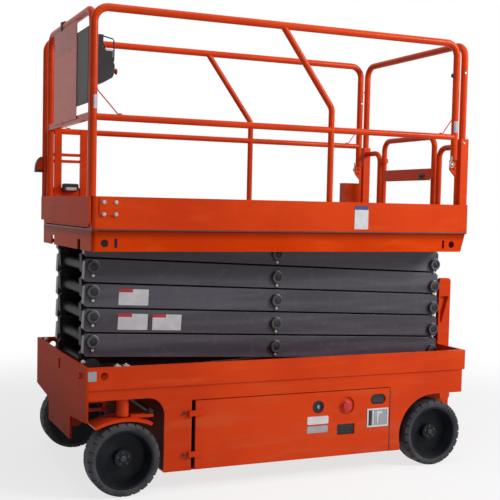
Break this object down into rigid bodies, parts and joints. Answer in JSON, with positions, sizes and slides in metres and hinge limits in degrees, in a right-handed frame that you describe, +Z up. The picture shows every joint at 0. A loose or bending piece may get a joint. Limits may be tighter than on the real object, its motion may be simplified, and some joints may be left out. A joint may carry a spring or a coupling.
{
  "type": "self-propelled scissor lift",
  "caption": "Self-propelled scissor lift with steered solid-tyred wheels, a stack of crossed arms, a lift cylinder, and a railed platform with roll-out deck and gate.",
  "frame": {"origin": "centre of the machine at floor level, under the wheels", "axes": "+X forward to the steered end, +Y to the left, +Z up"},
  "size_m": [2.382, 1.17, 2.478],
  "materials": {
    "orange_paint": "gloss",
    "grey_paint": "satin",
    "black_paint": "satin",
    "bare_steel": "satin",
    "chrome_rod": "polished",
    "solid_tyre": "matte",
    "black_plastic": "matte"
  },
  "bodies": {
    "chassis": {"chassis_sides": "orange_paint", "chassis_floors": "orange_paint", "chassis_bulkheads": "orange_paint", "rear_box": "orange_paint", "front_plate": "orange_paint", "rear_ladder": "orange_paint", "arm_supports": "black_paint", "wheel_mounts": "orange_paint", "tray_blocks": "black_paint"},
    "inner_1": {"inner_arms_1": "grey_paint"},
    "outer_1": {"outer_arms_1": "grey_paint"},
    "inner_2": {"inner_arms_2": "grey_paint"},
    "outer_2": {"outer_arms_2": "grey_paint"},
    "inner_3": {"inner_arms_3": "grey_paint"},
    "outer_3": {"outer_arms_3": "grey_paint"},
    "inner_4": {"inner_arms_4": "grey_paint"},
    "outer_4": {"outer_arms_4": "grey_paint"},
    "inner_5": {"inner_arms_5": "grey_paint"},
    "outer_5": {"outer_arms_5": "grey_paint"},
    "slide_lower": {"slide_blocks_lower": "grey_paint"},
    "slide_upper": {"slide_blocks_upper": "grey_paint"},
    "lift_barrel": {"lift_barrel": "black_paint"},
    "lift_rod": {"lift_rod": "chrome_rod"},
    "platform": {"platform_frame": "orange_paint", "platform_channels": "orange_paint", "platform_floor": "bare_steel", "toe_boards": "orange_paint", "side_rail_left": "orange_paint", "side_rail_right": "orange_paint", "rear_hoop": "orange_paint", "rail_brackets": "orange_paint"},
    "deck": {"deck_floor": "bare_steel", "deck_rail": "orange_paint", "deck_panel": "orange_paint", "control_box": "black_plastic"},
    "gate": {"gate": "orange_paint"},
    "door_left": {"door_left": "orange_paint"},
    "knuckle_left": {"knuckle_left": "orange_paint"},
    "door_right": {"door_right": "orange_paint"},
    "knuckle_right": {"knuckle_right": "orange_paint"},
    "tie_rod": {"tie_rod": "orange_paint"},
    "wheel_fl": {"tyre_fl": "solid_tyre", "rim_fl": "black_paint"},
    "wheel_fr": {"tyre_fr": "solid_tyre", "rim_fr": "black_paint"},
    "wheel_rl": {"tyre_rl": "solid_tyre", "rim_rl": "black_paint"},
    "wheel_rr": {"tyre_rr": "solid_tyre", "rim_rr": "black_paint"}
  },
  "joints": [
    {"name": "lift", "type": "hinge", "parent": "chassis", "child": "inner_1", "pos_m": [1.084, 0, 0.633], "axis": [0, 1, 0], "range_deg": [0, 40]},
    {"name": "cross_1", "type": "hinge", "parent": "inner_1", "child": "outer_1", "pos_m": [0.01851, 0, 0.6985], "axis": [0, 1, 0], "range_deg": [-80, 0]},
    {"name": "front_1", "type": "hinge", "parent": "outer_1", "child": "inner_2", "pos_m": [1.084, 0, 0.764], "axis": [0, 1, 0], "range_deg": [0, 80]},
    {"name": "cross_2", "type": "hinge", "parent": "inner_2", "child": "outer_2", "pos_m": [0.01851, 0, 0.8295], "axis": [0, 1, 0], "range_deg": [-80, 0]},
    {"name": "front_2", "type": "hinge", "parent": "outer_2", "child": "inner_3", "pos_m": [1.084, 0, 0.895], "axis": [0, 1, 0], "range_deg": [0, 80]},
    {"name": "cross_3", "type": "hinge", "parent": "inner_3", "child": "outer_3", "pos_m": [0.01851, 0, 0.9605], "axis": [0, 1, 0], "range_deg": [-80, 0]},
    {"name": "front_3", "type": "hinge", "parent": "outer_3", "child": "inner_4", "pos_m": [1.084, 0, 1.026], "axis": [0, 1, 0], "range_deg": [0, 80]},
    {"name": "cross_4", "type": "hinge", "parent": "inner_4", "child": "outer_4", "pos_m": [0.01851, 0, 1.0915], "axis": [0, 1, 0], "range_deg": [-80, 0]},
    {"name": "front_4", "type": "hinge", "parent": "outer_4", "child": "inner_5", "pos_m": [1.084, 0, 1.157], "axis": [0, 1, 0], "range_deg": [0, 80]},
    {"name": "cross_5", "type": "hinge", "parent": "inner_5", "child": "outer_5", "pos_m": [0.01851, 0, 1.2225], "axis": [0, 1, 0], "range_deg": [-80, 0]},
    {"name": "lower_block", "type": "hinge", "parent": "outer_1", "child": "slide_lower", "pos_m": [-1.04698, 0, 0.633], "axis": [0, 1, 0], "range_deg": [0, 40]},
    {"name": "upper_block", "type": "hinge", "parent": "inner_5", "child": "slide_upper", "pos_m": [-1.04698, 0, 1.288], "axis": [0, 1, 0], "range_deg": [-40, 0]},
    {"name": "platform_pivot", "type": "hinge", "parent": "outer_5", "child": "platform", "pos_m": [1.084, 0, 1.288], "axis": [0, 1, 0], "range_deg": [0, 40]},
    {"name": "barrel_pivot", "type": "hinge", "parent": "inner_2", "child": "lift_barrel", "pos_m": [0.8195, 0, 0.78026], "axis": [0, 1, 0], "range_deg": [0, 18.82]},
    {"name": "rod_slide", "type": "slide", "parent": "lift_barrel", "child": "lift_rod", "axis": [-0.9928, 0, 0.1199], "range_m": [0, 1.2033]},
    {"name": "deck_slide", "type": "slide", "parent": "platform", "child": "deck", "axis": [1, 0, 0], "range_m": [0, 0.9]},
    {"name": "gate_hinge", "type": "hinge", "parent": "platform", "child": "gate", "pos_m": [-1.06498, -0.292, 1.6], "axis": [0, 0, -1], "range_deg": [0, 90]},
    {"name": "door_left_hinge", "type": "hinge", "parent": "chassis", "child": "door_left", "pos_m": [0.628, 0.577, 0.3], "axis": [0, 0, -1], "range_deg": [0, 90]},
    {"name": "steer_left", "type": "hinge", "parent": "chassis", "child": "knuckle_left", "pos_m": [0.975, 0.5175, 0.45], "axis": [0, 0, 1], "range_deg": [-60, 60]},
    {"name": "door_right_hinge", "type": "hinge", "parent": "chassis", "child": "door_right", "pos_m": [0.628, -0.577, 0.3], "axis": [0, 0, 1], "range_deg": [0, 90]},
    {"name": "steer_right", "type": "hinge", "parent": "chassis", "child": "knuckle_right", "pos_m": [0.975, -0.5175, 0.45], "axis": [0, 0, 1], "range_deg": [-60, 60]},
    {"name": "tie_rod_eye", "type": "hinge", "parent": "knuckle_left", "child": "tie_rod", "pos_m": [0.825, 0.5175, 0.424], "axis": [0, 0, 1], "range_deg": [-60, 60]},
    {"name": "roll_fl", "type": "hinge", "parent": "knuckle_left", "child": "wheel_fl", "pos_m": [0.975, 0.5175, 0.1905], "axis": [0, 1, 0], "continuous": true},
    {"name": "roll_fr", "type": "hinge", "parent": "knuckle_right", "child": "wheel_fr", "pos_m": [0.975, -0.5175, 0.1905], "axis": [0, 1, 0], "continuous": true},
    {"name": "roll_rl", "type": "hinge", "parent": "chassis", "child": "wheel_rl", "pos_m": [-0.895, 0.5175, 0.1905], "axis": [0, 1, 0], "continuous": true},
    {"name": "roll_rr", "type": "hinge", "parent": "chassis", "child": "wheel_rr", "pos_m": [-0.895, -0.5175, 0.1905], "axis": [0, 1, 0], "continuous": true}
  ],
  "couplings": [
    {"joint": "cross_1", "follows": "lift", "ratio": -2},
    {"joint": "front_1", "follows": "lift", "ratio": 2},
    {"joint": "cross_2", "follows": "lift", "ratio": -2},
    {"joint": "front_2", "follows": "lift", "ratio": 2},
    {"joint": "cross_3", "follows": "lift", "ratio": -2},
    {"joint": "front_3", "follows": "lift", "ratio": 2},
    {"joint": "cross_4", "follows": "lift", "ratio": -2},
    {"joint": "front_4", "follows": "lift", "ratio": 2},
    {"joint": "cross_5", "follows": "lift", "ratio": -2},
    {"joint": "lower_block", "follows": "lift", "ratio": 1},
    {"joint": "upper_block", "follows": "lift", "ratio": -1},
    {"joint": "platform_pivot", "follows": "lift", "ratio": 1},
    {"joint": "barrel_pivot", "follows": "lift", "ratio": 0.47022},
    {"joint": "rod_slide", "follows": "lift", "m_per_rad": 1.7222},
    {"joint": "steer_right", "follows": "steer_left", "ratio": 1},
    {"joint": "tie_rod_eye", "follows": "steer_left", "ratio": -1}
  ]
}
